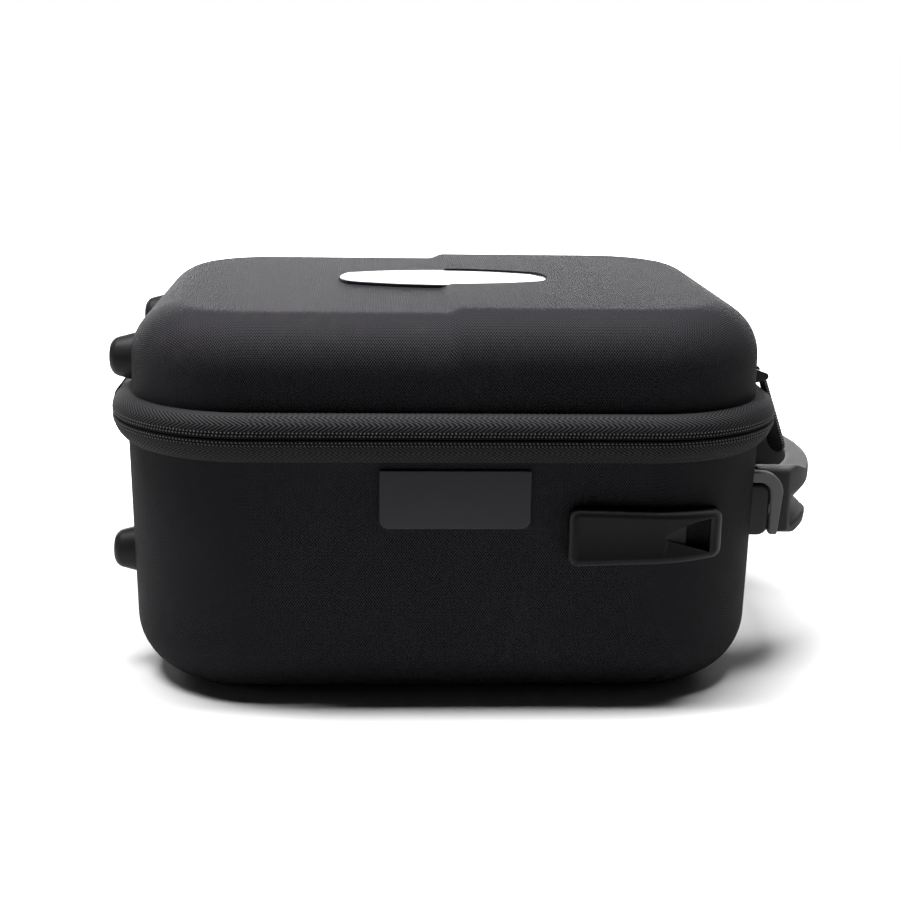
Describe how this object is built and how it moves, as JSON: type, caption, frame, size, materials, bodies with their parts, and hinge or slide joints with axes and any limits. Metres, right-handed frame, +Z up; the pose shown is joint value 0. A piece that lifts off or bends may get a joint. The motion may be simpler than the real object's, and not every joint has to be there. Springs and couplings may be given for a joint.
{
  "type": "microphone case",
  "caption": "Moulded rectangular zip case with a hinged padded lid, side carry handle, strap lugs, feet and cut-out foam for a microphone set.",
  "frame": {"origin": "centre of the flat underside of the base", "axes": "+X towards the carry handle, -Y towards the front wall with the tag, +Z up through the lid"},
  "size_m": [0.4435, 0.337, 0.229],
  "materials": {
    "shell_cloth": "woven polyester bonded to moulded foam, matt black",
    "lining_cloth": "short-pile lining, dark grey",
    "zip_tape": "herringbone woven tape, matt black",
    "zip_coil": "nylon coil, black",
    "foot_plastic": "moulded, satin",
    "lug_plastic": "moulded, fine grain",
    "tag_rubber": "smooth, matt, blank",
    "mount_plastic": "moulded, satin",
    "handle_rubber": "soft, satin",
    "steel": "zinc plated",
    "slider_metal": "black lacquered zinc casting",
    "pull_rubber": "moulded, matt",
    "foam": "open-cell foam, charcoal",
    "plate_black": "moulded, semi-gloss",
    "plate_white": "printed blank white, satin",
    "webbing": "flat woven nylon"
  },
  "bodies": {
    "base": {"base_shell": "shell_cloth", "base_lining": "lining_cloth", "base_zip_tape": "zip_tape", "base_zip_teeth": "zip_coil", "base_foot_front": "foot_plastic", "base_foot_back": "foot_plastic", "base_foot_screws": "steel", "base_foot_washers": "steel", "lug_front": "lug_plastic", "lug_back": "lug_plastic", "lug_rivets": "steel", "lug_backing_front": "steel", "lug_backing_back": "steel", "name_tag": "tag_rubber", "handle_mount_front": "mount_plastic", "handle_mount_back": "mount_plastic", "handle_shroud_front": "handle_rubber", "handle_shroud_back": "handle_rubber", "handle_pin_front": "steel", "handle_pin_back": "steel", "handle_screws": "steel", "handle_backing_front": "steel", "handle_backing_back": "steel", "hinge_cloth_base": "zip_tape", "foam_floor": "foam", "foam_insert": "foam"},
    "lid": {"lid_shell": "shell_cloth", "lid_lining": "lining_cloth", "lid_zip_tape": "zip_tape", "lid_zip_teeth": "zip_coil", "lid_foot_front": "foot_plastic", "lid_foot_back": "foot_plastic", "lid_foot_screws": "steel", "lid_foot_washers": "steel", "plate_rim": "plate_black", "plate_face": "plate_white", "lid_foam": "foam", "strap_anchor": "mount_plastic", "strap_rivets": "steel", "hinge_cloth_lid": "zip_tape"},
    "handle": {"handle_grip": "handle_rubber", "handle_core": "steel"},
    "front_slider": {"slider_front": "slider_metal", "slider_pin_front": "steel"},
    "back_slider": {"slider_back": "slider_metal", "slider_pin_back": "steel"},
    "front_pull": {"pull_front": "pull_rubber"},
    "back_pull": {"pull_back": "pull_rubber"},
    "strap": {"lid_strap": "webbing"}
  },
  "joints": [
    {"name": "lid_hinge", "type": "hinge", "parent": "base", "child": "lid", "pos_m": [-0.1995, 0, 0.161], "axis": [0, -1, 0], "range_deg": [0, 175]},
    {"name": "handle_tilt", "type": "hinge", "parent": "base", "child": "handle", "pos_m": [0.1965, 0, 0.104], "axis": [0, 1, 0], "range_deg": [0, 40]},
    {"name": "slider_front_travel", "type": "slide", "parent": "base", "child": "front_slider", "axis": [0, -1, 0], "range_m": [0, 0.03]},
    {"name": "slider_back_travel", "type": "slide", "parent": "base", "child": "back_slider", "axis": [0, 1, 0], "range_m": [0, 0.054]},
    {"name": "pull_front_swing", "type": "hinge", "parent": "front_slider", "child": "front_pull", "pos_m": [0.2022, -0.0125, 0.165], "axis": [0, -1, 0], "range_deg": [0, 165]},
    {"name": "pull_back_swing", "type": "hinge", "parent": "back_slider", "child": "back_pull", "pos_m": [0.2022, 0.0125, 0.165], "axis": [0, -1, 0], "range_deg": [0, 165]},
    {"name": "strap_swing", "type": "hinge", "parent": "lid", "child": "strap", "pos_m": [0.19429, -0.072, 0.1815], "axis": [0, -1, 0], "range_deg": [0, 120]}
  ]
}
